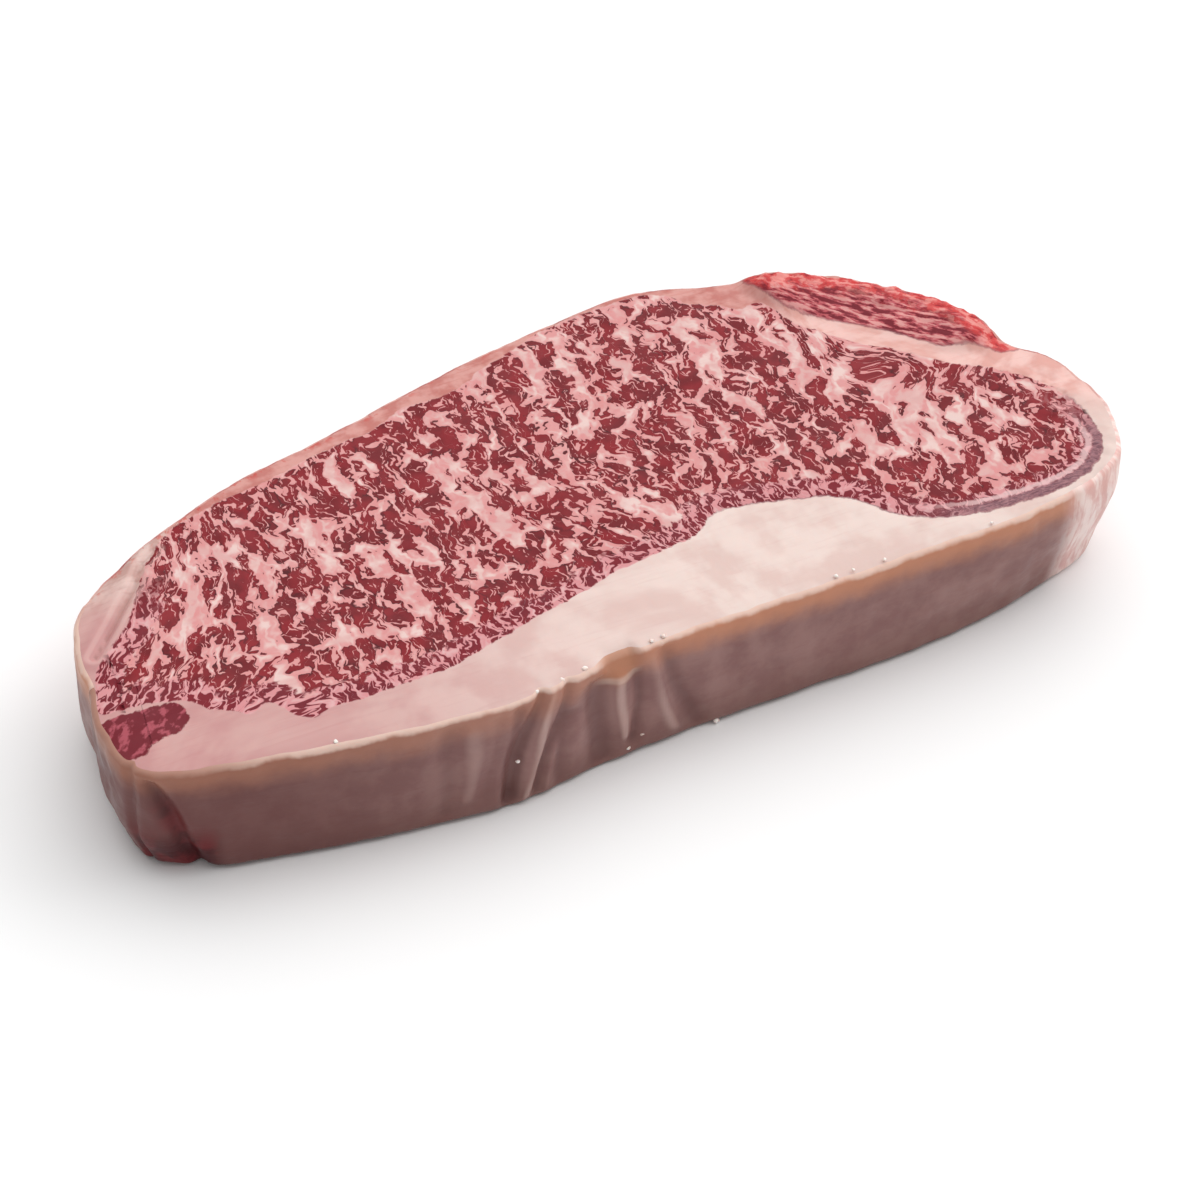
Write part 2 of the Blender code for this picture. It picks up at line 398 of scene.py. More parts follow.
def wall_profile(rings):
    """Rings up the side: how far each stands in from the edge, and its height."""
    quarter = rings // 6
    angle = np.linspace(0.0, math.pi / 2.0, quarter)
    foot = [(FOOT_RADIUS * (1.0 - math.sin(a)), FOOT_RADIUS * (1.0 - math.cos(a))) for a in angle]
    heights = np.linspace(FOOT_RADIUS, THICKNESS - ARRIS_RADIUS, rings - 2 * quarter + 2)[1:-1]
    bulge = [(-WALL_BULGE * math.sin(math.pi * z / THICKNESS), z) for z in heights]
    arris = [
        (ARRIS_RADIUS * (1.0 - math.cos(a)), THICKNESS - ARRIS_RADIUS * (1.0 - math.sin(a)))
        for a in angle
    ]
    return foot + bulge + arris


def ring_at(inset, z):
    """One ring of the side at a standing inset and height."""
    x, y = EDGE.T
    front = ALONG < 900.0
    folds = np.where(front, fold_depth(np.where(front, ALONG, 0.0), z), 0.0)
    share = z / THICKNESS
    nick_in = NICK_IN * nick_share() * smooth_step((share - 0.78) / 0.20)
    level = np.full(x.shape, z)
    dents = lumps(x, y, level, 11.0, 4.4, 3) * 0.35 + lumps(x, y, level * 0.6, 2.6, 6.1, 2) * 0.10
    waver = LEFT_WAVER * 0.35 * smooth_step(share * 3.0)
    behind = back_share(x, y)
    ragged = lumps(x, y, level, 4.0, 9.7, 3) * 0.5 * behind * math.sin(math.pi * min(share, 0.9))
    pushed = folds + nick_in + dents + waver + np.abs(ragged) + 0.4 - 0.2 * behind
    pushed = inset + undercut(x, z) + np.maximum(pushed, 0.15)
    px = x - SIDE[:, 0] * pushed
    py = y - SIDE[:, 1] * pushed
    height = level.copy()
    return px, py, height


def top_ring(inset, z):
    """A ring near the arris, fitted to the cut face."""
    px, py, height = ring_at(inset, min(z, THICKNESS))
    back = back_share(px, py)
    tail = smooth_step((-90.0 - px) / 20.0) * back
    round_off = (1.0 + 0.5 * back + 0.8 * tail) * max(0.0, 1.0 - inset / 7.0) ** 2
    blend = max(0.0, (z - 0.6 * THICKNESS) / (0.4 * THICKNESS))
    height = height + (top_height(px, py) - THICKNESS - round_off * 0.6) * blend
    height = height - 0.9 * nick_share() * max(0.0, 1.0 - inset / 3.0) * blend
    return px, py, height


def make_mesh(name, points, faces):
    """A mesh object from points in millimetres, moved to the slab's middle."""
    points = np.array(points, float)
    points[:, 0] -= MIDDLE_X
    points[:, 1] -= MIDDLE_Y
    data = bpy.data.meshes.new(name)
    data.from_pydata((points * MM).tolist(), [], faces)
    data.validate()
    for face in data.polygons:
        face.use_smooth = True
    piece = bpy.data.objects.new(name, data)
    bpy.context.scene.collection.objects.link(piece)
    return piece


def band_faces(first, second, count):
    """Four-sided faces between two rings of points, facing outward."""
    return [
        (first + i, first + (i + 1) % count, second + (i + 1) % count, second + i)
        for i in range(count)
    ]


def rung_faces(ring_start, rungs, inner_start, upward):
    """Faces that close a ring with rungs from front to back."""
    count = 2 * STATIONS

    def point(station, rung):
        """Index of a point on a rung."""
        if rung == 0:
            return ring_start + station
        if rung == rungs:
            return ring_start + count - station
        return inner_start + (station - 1) * (rungs - 1) + rung - 1

    faces = []
    for station in range(1, STATIONS - 1):
        for rung in range(rungs):
            faces.append(
                (
                    point(station, rung),
                    point(station + 1, rung),
                    point(station + 1, rung + 1),
                    point(station, rung + 1),
                )
            )
    tip = ring_start + STATIONS
    for rung in range(rungs):
        faces.append((ring_start, point(1, rung), point(1, rung + 1)))
        faces.append((point(STATIONS - 1, rung), tip, point(STATIONS - 1, rung + 1)))
    return faces if upward else [face[::-1] for face in faces]


def rung_points(px, py, rungs):
    """Points of the rungs between the front and the back of a ring."""
    share = (np.arange(1, rungs) / rungs)[None, :]
    front_x, front_y = px[1:STATIONS, None], py[1:STATIONS, None]
    back_x, back_y = px[:STATIONS:-1, None], py[:STATIONS:-1, None]
    x = front_x + (back_x - front_x) * share
    y = front_y + (back_y - front_y) * share
    return x.reshape(-1), y.reshape(-1)


PROFILE = wall_profile(WALL_RINGS)
TOP_INSETS = (1.9, 2.6, 3.4, 4.4, 5.6, 7.0)


def build_side():
    """The side all the way round, from the foot to the arris."""
    faces = []
    count = 2 * STATIONS
    rings = []
    for inset, z in PROFILE:
        rings.append(np.stack(top_ring(inset, z), axis=1))
    points = np.vstack(rings)
    points[:, 2] = np.maximum(points[:, 2], 0.0)
    for level in range(len(rings) - 1):
        faces += band_faces(level * count, (level + 1) * count, count)
    piece = make_mesh("side_skin", points, faces)
    heights = np.concatenate([np.full(count, z) for _, z in PROFILE])
    along = np.tile(ALONG, len(PROFILE))
    return piece, points, heights, along


def build_cut_face():
    """The upper cut face, from the arris inward."""
    count = 2 * STATIONS
    inset, z = PROFILE[-1]
    rings = [np.stack(top_ring(inset, z), axis=1)]
    for more in TOP_INSETS:
        rings.append(np.stack(top_ring(more, THICKNESS), axis=1))
    faces = []
    for level in range(len(rings) - 1):
        faces += band_faces(level * count, (level + 1) * count, count)
    last = rings[-1]
    x, y = rung_points(last[:, 0], last[:, 1], TOP_RUNGS)
    inner = np.stack([x, y, top_height(x, y)], axis=1)
    start = (len(rings) - 1) * count
    faces += rung_faces(start, TOP_RUNGS, start + count, True)
    points = np.vstack(rings + [inner])
    return make_mesh("cut_face", points, faces), points


def build_under_face():
    """The lower cut face, which lies on the board."""
    inset, z = PROFILE[0]
    ring = np.stack(top_ring(inset, z), axis=1)
    x, y = rung_points(ring[:, 0], ring[:, 1], UNDER_RUNGS)
    inner = np.stack([x, y, np.zeros(x.shape)], axis=1)
    faces = rung_faces(0, UNDER_RUNGS, 2 * STATIONS, False)
    points = np.vstack([ring, inner])
    points[:, 2] = np.maximum(points[:, 2], 0.0)
    return make_mesh("under_face", points, faces), points


def build_crumbs_and_glints():
    """Little crumbs of fat stuck along the cap's edge and at the foot; those on the cap's edge also
    stand for its small glints.
    """
    form = bmesh.new()
    front = EDGE[:STATIONS]
    for index, (along, z, size) in enumerate(CRUMBS_AND_GLINTS):
        station = int(np.argmin(np.abs(ALONG[:STATIONS] - along)))
        inset = 0.25 if z < THICKNESS - 1.0 else 1.6
        x, y = front[station] - SIDE[station] * (inset + 0.6)
        made = bmesh.ops.create_icosphere(form, subdivisions=2, radius=size)
        for vert in made["verts"]:
            lump = noise.fractal(vert.co * (1.1 / size) + Vector((index, 0.0, 0.0)), 1.0, 2.0, 2)
            vert.co = vert.co * (1.0 + 0.45 * lump)
            vert.co.z *= 0.6
            vert.co += Vector((x, y, z - 0.15))
    form.verts.ensure_lookup_table()
    points = np.array([vert.co[:] for vert in form.verts])
    faces = [tuple(vert.index for vert in face.verts) for face in form.faces]
    form.free()
    return make_mesh("fat_crumbs_and_painted_glints", points, faces)


# ---------------------------------------------------------------- marks that the finishes read


def put_mark(piece, name, values):
    """Store one number at each point of a piece."""
    mark = piece.data.attributes.new(name, "FLOAT", "POINT")
    mark.data.foreach_set("value", np.asarray(values, np.float32))


def put_vector(piece, name, values):
    """Store one vector at each point of a piece."""
    mark = piece.data.attributes.new(name, "FLOAT_VECTOR", "POINT")
    mark.data.foreach_set("vector", np.asarray(values, np.float32).reshape(-1))


def grain_place(x, y, other_side):
    """Place in the meat, with its second axis along the muscle fibres."""
    tail = 0.45 * smooth_step((-72.0 - x) / 30.0)
    middle = -0.25 * np.exp(-(((x - 8.0) / 14.0) ** 2)) * smooth_step((22.0 - y) / 20.0)
    strip = -0.85 * smooth_step((x - 68.0) / 16.0) * smooth_step((y + 4.0) / 14.0)
    tilt = tail + middle + strip
    rest = -10.0 * smooth_step((-72.0 - x) / 30.0) + 14.0 * smooth_step((x - 68.0) / 16.0)
    shift = 317.0 if other_side else 0.0
    return np.stack([x - tilt * (y - rest) + shift, y, np.zeros(x.shape)], axis=1)


def lean_bias(x, y):
    """Below zero in the broad fat bands and above zero where the lean lies close."""
    bias = np.zeros(x.shape)
    for ax, ay, bx, by, half in FAT_BANDS:
        away = line_distance(x, y, ((ax, ay), (bx, by)))
        bias = np.minimum(bias, -smooth_step(1.6 - away / half))
    for mx, my, wide, long, much in DENSE_LEAN:
        away = np.hypot((x - mx) / wide, (y - my) / long)
        bias = bias + much * smooth_step(1.5 - away) * (1.0 + bias)
    return bias


def mark_face(piece, points, other_side):
    """Everything the cut face's finish needs to know."""
    x, y = points[:, 0], points[:, 1]
    put_vector(piece, "grain", grain_place(x, y, other_side))
    put_mark(piece, "lean_in", signed_distance(x, y, LEAN_EDGE))
    put_mark(piece, "corner_in", signed_distance(x, y, CORNER_EDGE))
    put_mark(piece, "strip_in", signed_distance(x, y, STRIP_EDGE))
    put_mark(piece, "edge_in", line_distance(x, y, np.vstack([EDGE, EDGE[:1]])))
    put_mark(piece, "lean_bias", lean_bias(x, y))
    put_mark(piece, "crease_off", line_distance(x, y, TAIL_CREASE))
    run = 0.70 * (x - 69.0) - 0.72 * (y - 44.0)
    aside = 0.72 * (x - 69.0) + 0.70 * (y - 44.0)
    put_vector(piece, "strip_place", np.stack([run, aside, np.zeros(x.shape)], axis=1))
    back = back_share(x, y)
    put_mark(piece, "back", back)


def mark_side(piece, points, heights, along):
    """Everything the side's finish needs to know."""
    x, y = points[:, 0], points[:, 1]
    put_mark(piece, "height", heights)
    put_mark(piece, "back", back_share(x, y))
    corner = between(along, 27.0, 42.0, 5.0) * smooth_step((17.0 - heights) / 10.0)
    groove = np.exp(-(((along - (41.5 - 11.5 * heights / THICKNESS)) / 2.6) ** 2))
    groove = groove * smooth_step((28.0 - heights) / 10.0)
    end = between(x, 106.0, 130.0, 8.0)
    put_mark(piece, "corner_meat", np.maximum(corner, groove * 0.8))
    put_mark(piece, "end", end)
    folds = [fold_depth(ALONG, z) for _, z in PROFILE]
    put_mark(piece, "fold", np.concatenate(folds))
    put_mark(piece, "along", along)
    put_mark(piece, "nick", np.tile(nick_share(), len(PROFILE)))
    run = np.concatenate([[0.0], np.cumsum(np.hypot(*np.diff(EDGE, axis=0).T))])
    around = np.tile(run, len(PROFILE))
    put_vector(piece, "skin_place", np.stack([around, heights, np.zeros(len(x))], axis=1))

# ---------------------------------------------------------------- finishes


def linear(colour):
    """A display colour, 0 to 255, as scene light."""
    parts = []
    for part in colour:
        part = part / 255.0
        parts.append(part / 12.92 if part <= 0.04045 else ((part + 0.055) / 1.055) ** 2.4)
    return (*parts, 1.0)


def shade_of(colour):
    """Scene light for a display colour; what is already a node's output stays as it is."""
    return linear(colour) if isinstance(colour, tuple) else colour


class Bench:
    """Lays out nodes in one tree and joins them."""

    def __init__(self, tree):
        """Work in this tree."""
        self.tree = tree

    def give(self, socket, value):
        """Join a node's output to a socket, or set its value."""
        if isinstance(value, bpy.types.NodeSocket):
            self.tree.links.new(value, socket)
        elif value is not None:
            socket.default_value = value

    def math(self, operation, first, second=None, third=None):
        """One sum."""
        node = self.tree.nodes.new("ShaderNodeMath")
        node.operation = operation
        for socket, value in zip(node.inputs, (first, second, third)):
            self.give(socket, value)
        return node.outputs[0]

    def times(self, first, second):
        """One product."""
        return self.math("MULTIPLY", first, second)

    def vector(self, operation, first, second=None):
        """One sum of vectors."""
        node = self.tree.nodes.new("ShaderNodeVectorMath")
        node.operation = operation
        self.give(node.inputs[0], first)
        self.give(node.inputs[1], second)
        return node.outputs[0]

    def step(self, value, low, high, start=0.0, end=1.0):
        """Ease from start to end as a value goes from low to high."""
        node = self.tree.nodes.new("ShaderNodeMapRange")
        node.interpolation_type = "SMOOTHSTEP"
        for name, number in (
            ("Value", value),
            ("From Min", low),
            ("From Max", high),
            ("To Min", start),
            ("To Max", end),
        ):
            self.give(node.inputs[name], number)
        return node.outputs["Result"]

    def noise(self, place, scale, detail=2.0, rough=0.5, flat=True):
        """Soft noise over a place; gives the node."""
        node = self.tree.nodes.new("ShaderNodeTexNoise")
        node.noise_dimensions = "2D" if flat else "3D"
        self.give(node.inputs["Vector"], place)
        self.give(node.inputs["Scale"], scale)
        self.give(node.inputs["Detail"], detail)
        self.give(node.inputs["Roughness"], rough)
        return node

    def cloud(self, place, scale, detail=2.0, rough=0.5, flat=True):
        """The height of soft noise over a place."""
        return self.noise(place, scale, detail, rough, flat).outputs["Fac"]

    def cells(self, place, feature, flat=True):
        """Random cells over a place; gives the node."""
        node = self.tree.nodes.new("ShaderNodeTexVoronoi")
        node.voronoi_dimensions = "2D" if flat else "3D"
        node.feature = feature
        self.give(node.inputs["Vector"], place)
        self.give(node.inputs["Scale"], 1.0)
        return node

    def pair(self, first, second):
        """A flat vector from two numbers."""
        node = self.tree.nodes.new("ShaderNodeCombineXYZ")
        self.give(node.inputs["X"], first)
        self.give(node.inputs["Y"], second)
        node.inputs["Z"].default_value = 1.0
        return node.outputs[0]

    def mix(self, share, first, second):
        """Blend two colours, each a node's output or a display colour."""
        node = self.tree.nodes.new("ShaderNodeMix")
        node.data_type = "RGBA"
        self.give(node.inputs["Factor"], share)
        self.give(node.inputs[6], shade_of(first))
        self.give(node.inputs[7], shade_of(second))
        return node.outputs[2]

    def mark(self, name, vector=False):
        """A number or vector stored on the piece."""
        node = self.tree.nodes.new("ShaderNodeAttribute")
        node.attribute_name = name
        return node.outputs["Vector" if vector else "Fac"]

    def group(self, tree, **values):
        """Place a group and give its inputs."""
        node = self.tree.nodes.new("ShaderNodeGroup")
        node.node_tree = tree
        for name, value in values.items():
            self.give(node.inputs[name.replace("_", " ")], value)
        return node


def new_group(name, inputs, outputs):
    """An empty node group with its sockets; gives its bench, its inputs and its outputs."""
    tree = bpy.data.node_groups.new(name, "ShaderNodeTree")
    kinds = {"number": "NodeSocketFloat", "place": "NodeSocketVector", "colour": "NodeSocketColor"}
    for socket_name, kind, start in inputs:
        socket = tree.interface.new_socket(socket_name, in_out="INPUT", socket_type=kinds[kind])
        if start is not None:
            socket.default_value = start
    for socket_name, kind in outputs:
        tree.interface.new_socket(socket_name, in_out="OUTPUT", socket_type=kinds[kind])
    source = tree.nodes.new("NodeGroupInput").outputs
    sink = tree.nodes.new("NodeGroupOutput").inputs
    return tree, Bench(tree), source, sink


def marbling_group():
    """Islands of lean with lobed edges, in a net of fat."""
    tree, bench, source, sink = new_group(
        "marbling",
        (
            ("Place", "place", None),
            ("Bias", "number", 0.0),
            ("Bundle Width", "number", 1.4),
            ("Bundle Length", "number", 2.4),
            ("Island Width", "number", 5.0),
            ("Island Length", "number", 11.0),
            ("Softness", "number", 0.035),
            ("Threads", "number", 0.034),
        ),
        (("Lean", "number"), ("Core", "number"), ("Bundle", "number"), ("Near", "number")),
    )
    place = source["Place"]
    wander = bench.noise(place, 0.10, 1.0).outputs["Color"]
    wander = bench.vector("SUBTRACT", wander, (0.5, 0.5, 0.5))
    wander = bench.vector("MULTIPLY", wander, (5.0, 4.0, 0.0))
    shiver = bench.noise(place, 0.45, 1.0, 0.45).outputs["Color"]
    shiver = bench.vector("SUBTRACT", shiver, (0.5, 0.5, 0.5))
    shiver = bench.vector("MULTIPLY", shiver, (2.2, 1.8, 0.0))
    place = bench.vector("ADD", place, wander)
    place = bench.vector("ADD", place, shiver)
    bundle = bench.pair(source["Bundle Width"], source["Bundle Length"])
    island = bench.pair(source["Island Width"], source["Island Length"])
    cells = bench.cells(bench.vector("DIVIDE", place, bundle), "F1")
    broad = bench.vector("DIVIDE", place, island)
    cloud = bench.cloud(broad, 1.5, 1.0, 0.5)
    bands = bench.cells(broad, "DISTANCE_TO_EDGE").outputs["Distance"]
    loose = bench.cloud(place, 0.10, 0.0)
    seam = bench.step(bands, 0.0, bench.step(loose, 0.35, 0.60, 0.10, 0.18), -0.34, 0.10)
    bands = bench.math("MINIMUM", bands, 0.40)
    value = bench.math("MULTIPLY_ADD", bench.math("SUBTRACT", cloud, 0.5), 2.3, seam)
    value = bench.math("MULTIPLY_ADD", bench.math("SUBTRACT", bands, 0.08), 0.6, value)
    lobes = bench.math("SUBTRACT", 0.45, cells.outputs["Distance"])
    value = bench.math("MULTIPLY_ADD", lobes, 0.52, value)
    value = bench.math("ADD", value, source["Bias"])
    soft = source["Softness"]
    lean = bench.step(value, bench.times(soft, -1.0), soft)
    # Thin threads of fat wander through the islands, mostly along the fibres.
    thread_place = bench.vector("MULTIPLY", place, (0.40, 0.15, 1.0))
    ridge = bench.cloud(thread_place, 1.0, 1.0, 0.4)
    ridge = bench.math("ABSOLUTE", bench.math("SUBTRACT", ridge, 0.5))
    thin = bench.cloud(bench.vector("ADD", place, (41.0, 17.0, 0.0)), 0.45, 0.0)
    width = bench.times(bench.step(thin, 0.44, 0.64), source["Threads"])
    thread = bench.step(ridge, width, bench.math("MULTIPLY_ADD", width, 1.3, 0.004), 1.0, 0.0)
    speck = bench.noise(bench.vector("MULTIPLY", place, (1.2, 0.62, 1.0)), 1.0, 1.0)
    hole = bench.step(speck.outputs["Fac"], 0.69, 0.74)
    open_fat = bench.math("MAXIMUM", thread, hole)
    lean = bench.times(lean, bench.math("SUBTRACT", 1.0, open_fat))
    split = bench.tree.nodes.new("ShaderNodeSeparateColor")
    bench.give(split.inputs[0], cells.outputs["Color"])
    bench.give(sink["Lean"], lean)
    bench.give(sink["Core"], bench.step(value, 0.02, 0.22))
    bench.give(sink["Bundle"], split.outputs[1])
    bench.give(sink["Near"], bench.step(value, -0.80, -0.12))
    return tree


def moist_group():
    """Uneven wetness: a faint bump and patches of gloss."""
    tree, bench, source, sink = new_group(
        "moist surface",
        (
            ("Place", "place", None),
            ("Roughness", "number", 0.4),
            ("Spread", "number", 0.2),
            ("Fine", "number", 1.2),
        ),
        (("Roughness", "number"), ("Height", "number"), ("Film", "number")),
    )
    broad = bench.cloud(source["Place"], 0.11, 3.0, 0.55, False)
    fine = bench.cloud(source["Place"], source["Fine"], 3.0, 0.55, False)
    patch = bench.step(broad, 0.36, 0.62)
    spread = bench.times(source["Spread"], bench.math("SUBTRACT", 0.5, patch))
    bench.give(sink["Roughness"], bench.math("ADD", source["Roughness"], spread))
    bench.give(sink["Height"], bench.math("MULTIPLY_ADD", broad, 0.8, bench.times(fine, 0.25)))
    bench.give(sink["Film"], patch)
    return tree


def fat_group():
    """Fat: a pale colour with faint streaks and clouds of a second one."""
    tree, bench, source, sink = new_group(
        "fat",
        (
            ("Place", "place", None),
            ("Pale", "colour", (0.8, 0.8, 0.8, 1.0)),
            ("Deep", "colour", (0.6, 0.6, 0.6, 1.0)),
            ("Cloud", "number", 0.09),
            ("Streaks", "number", 0.3),
        ),
        (("Colour", "colour"), ("Grain", "number")),
    )
    cloud = bench.cloud(source["Place"], source["Cloud"], 3.0, 0.55)
    long = bench.vector("MULTIPLY", source["Place"], (0.10, 0.9, 1.0))
    streak = bench.cloud(long, 1.0, 3.0, 0.6)
    share = bench.step(cloud, 0.36, 0.66)
    share = bench.math("MULTIPLY_ADD", bench.step(streak, 0.5, 0.8), source["Streaks"], share)
    share = bench.math("MINIMUM", share, 1.0)
    bench.give(sink["Colour"], bench.mix(share, source["Pale"], source["Deep"]))
    bench.give(sink["Grain"], streak)
    return tree


MARBLING = marbling_group()
MOIST = moist_group()
FAT = fat_group()


def fat_colour(bench, place, pale, deep, cloud, streaks):
    """The fat's colour from its two tones, how fine its clouds are and how streaky it is."""
    pale, deep = shade_of(pale), shade_of(deep)
    values = {"Place": place, "Pale": pale, "Deep": deep, "Cloud": cloud, "Streaks": streaks}
    return bench.group(FAT, **values).outputs["Colour"]


def new_finish(name):
    """A material with its bench and its shader."""
    finish = bpy.data.materials.new(name)
    finish.use_nodes = True
    return finish, Bench(finish.node_tree), finish.node_tree.nodes["Principled BSDF"]


def set_flesh(shader):
    """What all the wet meat and fat share."""
    shader.inputs["Metallic"].default_value = 0.0
    shader.inputs["IOR"].default_value = 1.38
    shader.inputs["Specular IOR Level"].default_value = 0.28
    shader.inputs["Subsurface Weight"].default_value = 0.10
    shader.inputs["Subsurface Radius"].default_value = (1.0, 0.35, 0.25)
    shader.inputs["Subsurface Scale"].default_value = 1.2 * MM
    shader.inputs["Coat Roughness"].default_value = 0.22


def raise_surface(bench, shader, height, far, strength):
    """Give a shader its faint relief."""
    bump = bench.tree.nodes.new("ShaderNodeBump")
    bump.inputs["Strength"].default_value = strength
    bump.inputs["Distance"].default_value = far * MM
    bench.give(bump.inputs["Height"], height)
    bench.give(shader.inputs["Normal"], bump.outputs["Normal"])


def cut_meat():
    """The cut face: marbled lean, the fat round it, the sheath and the small muscle."""
    finish, bench, shader = new_finish("cut_meat")
    set_flesh(shader)
    grain = bench.mark("grain", True)
    lean_in = bench.mark("lean_in")
    corner_in = bench.mark("corner_in")
    strip_in = bench.mark("strip_in")
    edge_in = bench.mark("edge_in")
    back = bench.mark("back")
    crease = bench.mark("crease_off")
    bias = bench.mark("lean_bias")
    clear = bench.times(bench.math("MINIMUM", bias, 0.0), 0.62)
    bias = bench.math("MULTIPLY_ADD", bench.math("MAXIMUM", bias, 0.0), 0.14, clear)
    bias = bench.math("ADD", bias, 0.13)
    apart = bench.tree.nodes.new("ShaderNodeSeparateXYZ")
    bench.give(apart.inputs[0], grain)
    across, length = apart.outputs[0], apart.outputs[1]

    waver = bench.cloud(grain, 0.35, 3.0, 0.6)
    waver = bench.math("SUBTRACT", waver, 0.5)
    lean_in = bench.math("MULTIPLY_ADD", waver, 1.6, lean_in)
    corner_in = bench.math("MULTIPLY_ADD", waver, 2.2, corner_in)
    strip_in = bench.math("MULTIPLY_ADD", waver, 1.4, strip_in)

    # Near the cap the bundles are finer, softer and a little purple.
    front = bench.math("SUBTRACT", 1.0, back)
    rim = bench.math("MULTIPLY_ADD", waver, 6.0, lean_in)
    rim = bench.times(bench.step(rim, 6.5, 5.3), front)
    edge_bias = bench.step(lean_in, 1.4, 0.0, 0.0, -0.18)
    broad = bench.group(MARBLING, Place=grain, Bias=bench.math("ADD", bias, edge_bias))
    fine_bias = bench.math("MULTIPLY_ADD", edge_bias, 0.4, 0.06)
    fine = bench.group(
        MARBLING,
        Place=bench.vector("ADD", grain, (91.0, 47.0, 0.0)),
        Bias=fine_bias,
        Bundle_Width=1.0,
        Bundle_Length=1.5,
        Island_Width=2.4,
        Island_Length=5.0,
        Softness=0.09,
    )

    def both(name):
        """Blend the broad and the fine marbling."""
        part = bench.math("SUBTRACT", fine.outputs[name], broad.outputs[name])
        return bench.math("MULTIPLY_ADD", part, rim, broad.outputs[name])

    inside_lean = bench.step(lean_in, -0.15, 0.35)
    lean = bench.times(both("Lean"), inside_lean)
    core = both("Core")
    near = bench.times(both("Near"), inside_lean)

    tone = bench.cloud(grain, 0.16, 2.0, 0.5)
    red = bench.mix(bench.step(tone, 0.32, 0.66), (110, 14, 24), (138, 27, 36))
    red = bench.mix(bench.times(both("Bundle"), 0.35), red, (118, 18, 30))
    dark = bench.mix(bench.step(tone, 0.4, 0.6), (72, 6, 16), (92, 10, 24))
    red = bench.mix(bench.times(bench.math("SUBTRACT", 1.0, core), 0.9), red, dark)
    red = bench.mix(bench.times(rim, 0.55), red, (112, 20, 38))

    soft_fat = fat_colour(bench, grain, (226, 196, 190), (214, 166, 162), 0.13, 0.15)
    soft_fat = bench.mix(bench.times(near, 0.80), soft_fat, (212, 134, 134))
    soft_fat = bench.mix(bench.times(rim, 0.5), soft_fat, (206, 134, 142))

    # The cap is whiter toward the point and pinker toward the tail.
    cap_tone = bench.step(across, -96.0, 10.0)
    cap_pale = bench.mix(cap_tone, (203, 158, 153), (228, 207, 199))
    cap_deep = bench.mix(cap_tone, (194, 142, 140), (218, 190, 182))
    cap = fat_colour(bench, grain, cap_pale, cap_deep, 0.07, 0.35)
    rim_fat = fat_colour(bench, grain, (210, 152, 144), (190, 118, 110), 0.16, 0.5)
    tail_share = bench.step(across, -88.0, -108.0)
    tail_fat = fat_colour(bench, grain, (214, 184, 176), (190, 150, 142), 0.16, 0.6)
    stain = bench.cloud(grain, 0.28, 3.0, 0.6)
    stain = bench.times(bench.step(stain, 0.54, 0.64), bench.step(edge_in, 4.0, 1.5))
    stain = bench.times(stain, bench.step(across, 20.0, -40.0, 0.15, 0.7))
    rim_fat = bench.mix(stain, rim_fat, (196, 60, 52))
    tail_fat = bench.mix(stain, tail_fat, (196, 70, 56))
    point_share = bench.step(across, 60.0, 84.0)
    point_fat = fat_colour(bench, grain, (232, 190, 182), (218, 162, 152), 0.12, 0.3)
    around = bench.mix(tail_share, rim_fat, tail_fat)
    around = bench.mix(point_share, around, point_fat)
    outer = bench.mix(back, cap, around)
    fat = bench.mix(inside_lean, outer, soft_fat)
    colour = bench.mix(lean, fat, red)

    # Dark sheath and thin line along the cap, toward the point.
    band_place = bench.times(bench.step(across, 62.0, 84.0), front)
    band_place = bench.times(band_place, bench.step(length, -20.0, -33.0))
    fibre = bench.noise(bench.vector("MULTIPLY", grain, (0.5, 2.6, 1.0)), 1.0, 3.0, 0.6)
    sheath = bench.times(bench.step(lean_in, 0.0, 0.4), bench.step(lean_in, 2.9, 2.0))
    sheath = bench.times(sheath, band_place)
    sheath_colour = bench.mix(
        bench.step(fibre.outputs["Fac"], 0.35, 0.65), (112, 74, 84), (158, 112, 118)
    )
    colour = bench.mix(bench.times(sheath, 0.9), colour, sheath_colour)
    pale_line = bench.times(bench.step(lean_in, 2.3, 3.0), bench.step(lean_in, 4.4, 3.7))
    pale_line = bench.times(pale_line, bench.times(band_place, 0.8))
    colour = bench.mix(pale_line, colour, (222, 184, 184))
    line = bench.times(bench.step(lean_in, -0.35, 0.0), bench.step(lean_in, 0.45, 0.1))
    line = bench.times(line, bench.times(bench.step(across, 10.0, 40.0), front))
    colour = bench.mix(bench.times(line, 0.75), colour, (150, 104, 108))

    # The little dark muscle in the tail's corner.
    corner = bench.step(corner_in, -0.1, 0.4)
    corner_tone = bench.cloud(grain, 0.38, 3.0, 0.55)
    corner_red = bench.mix(bench.step(corner_tone, 0.50, 0.66), (112, 22, 36), (168, 76, 88))
    colour = bench.mix(corner, colour, corner_red)

